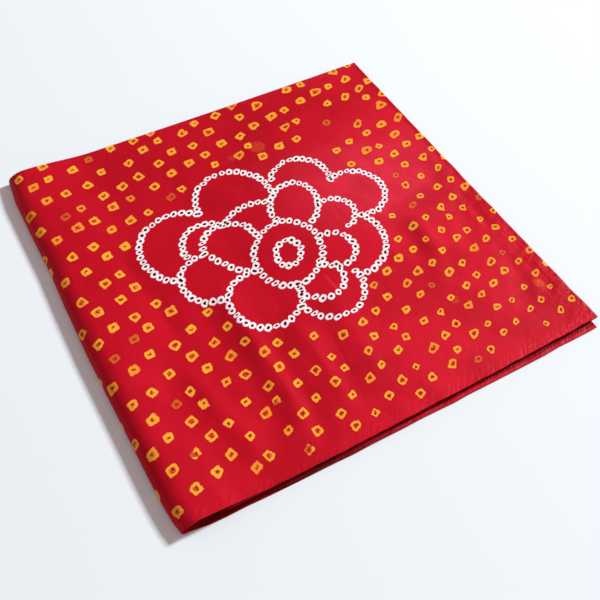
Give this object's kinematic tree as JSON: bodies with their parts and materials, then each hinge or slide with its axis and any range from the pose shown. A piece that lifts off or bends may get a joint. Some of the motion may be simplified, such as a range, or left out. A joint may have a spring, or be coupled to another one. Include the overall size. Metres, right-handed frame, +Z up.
{
  "type": "folded bandhani cloth",
  "caption": "Square folded tie-dyed cloth in four flat plies, with a rounded outer fold at one side and a soft crease at the other.",
  "frame": {"origin": "middle of the base, on the surface that the cloth lies on", "axes": "+X along the front edge from the rounded outer fold to the soft right crease; +Y from the front edge to the back edge; +Z up"},
  "size_m": [0.4018, 0.407, 0.0125],
  "materials": {
    "dyed_cloth": "satin, tie-dyed red with yellow and white dots"
  },
  "bodies": {
    "root": {"bandhani_cloth": "dyed_cloth"}
  },
  "joints": []
}
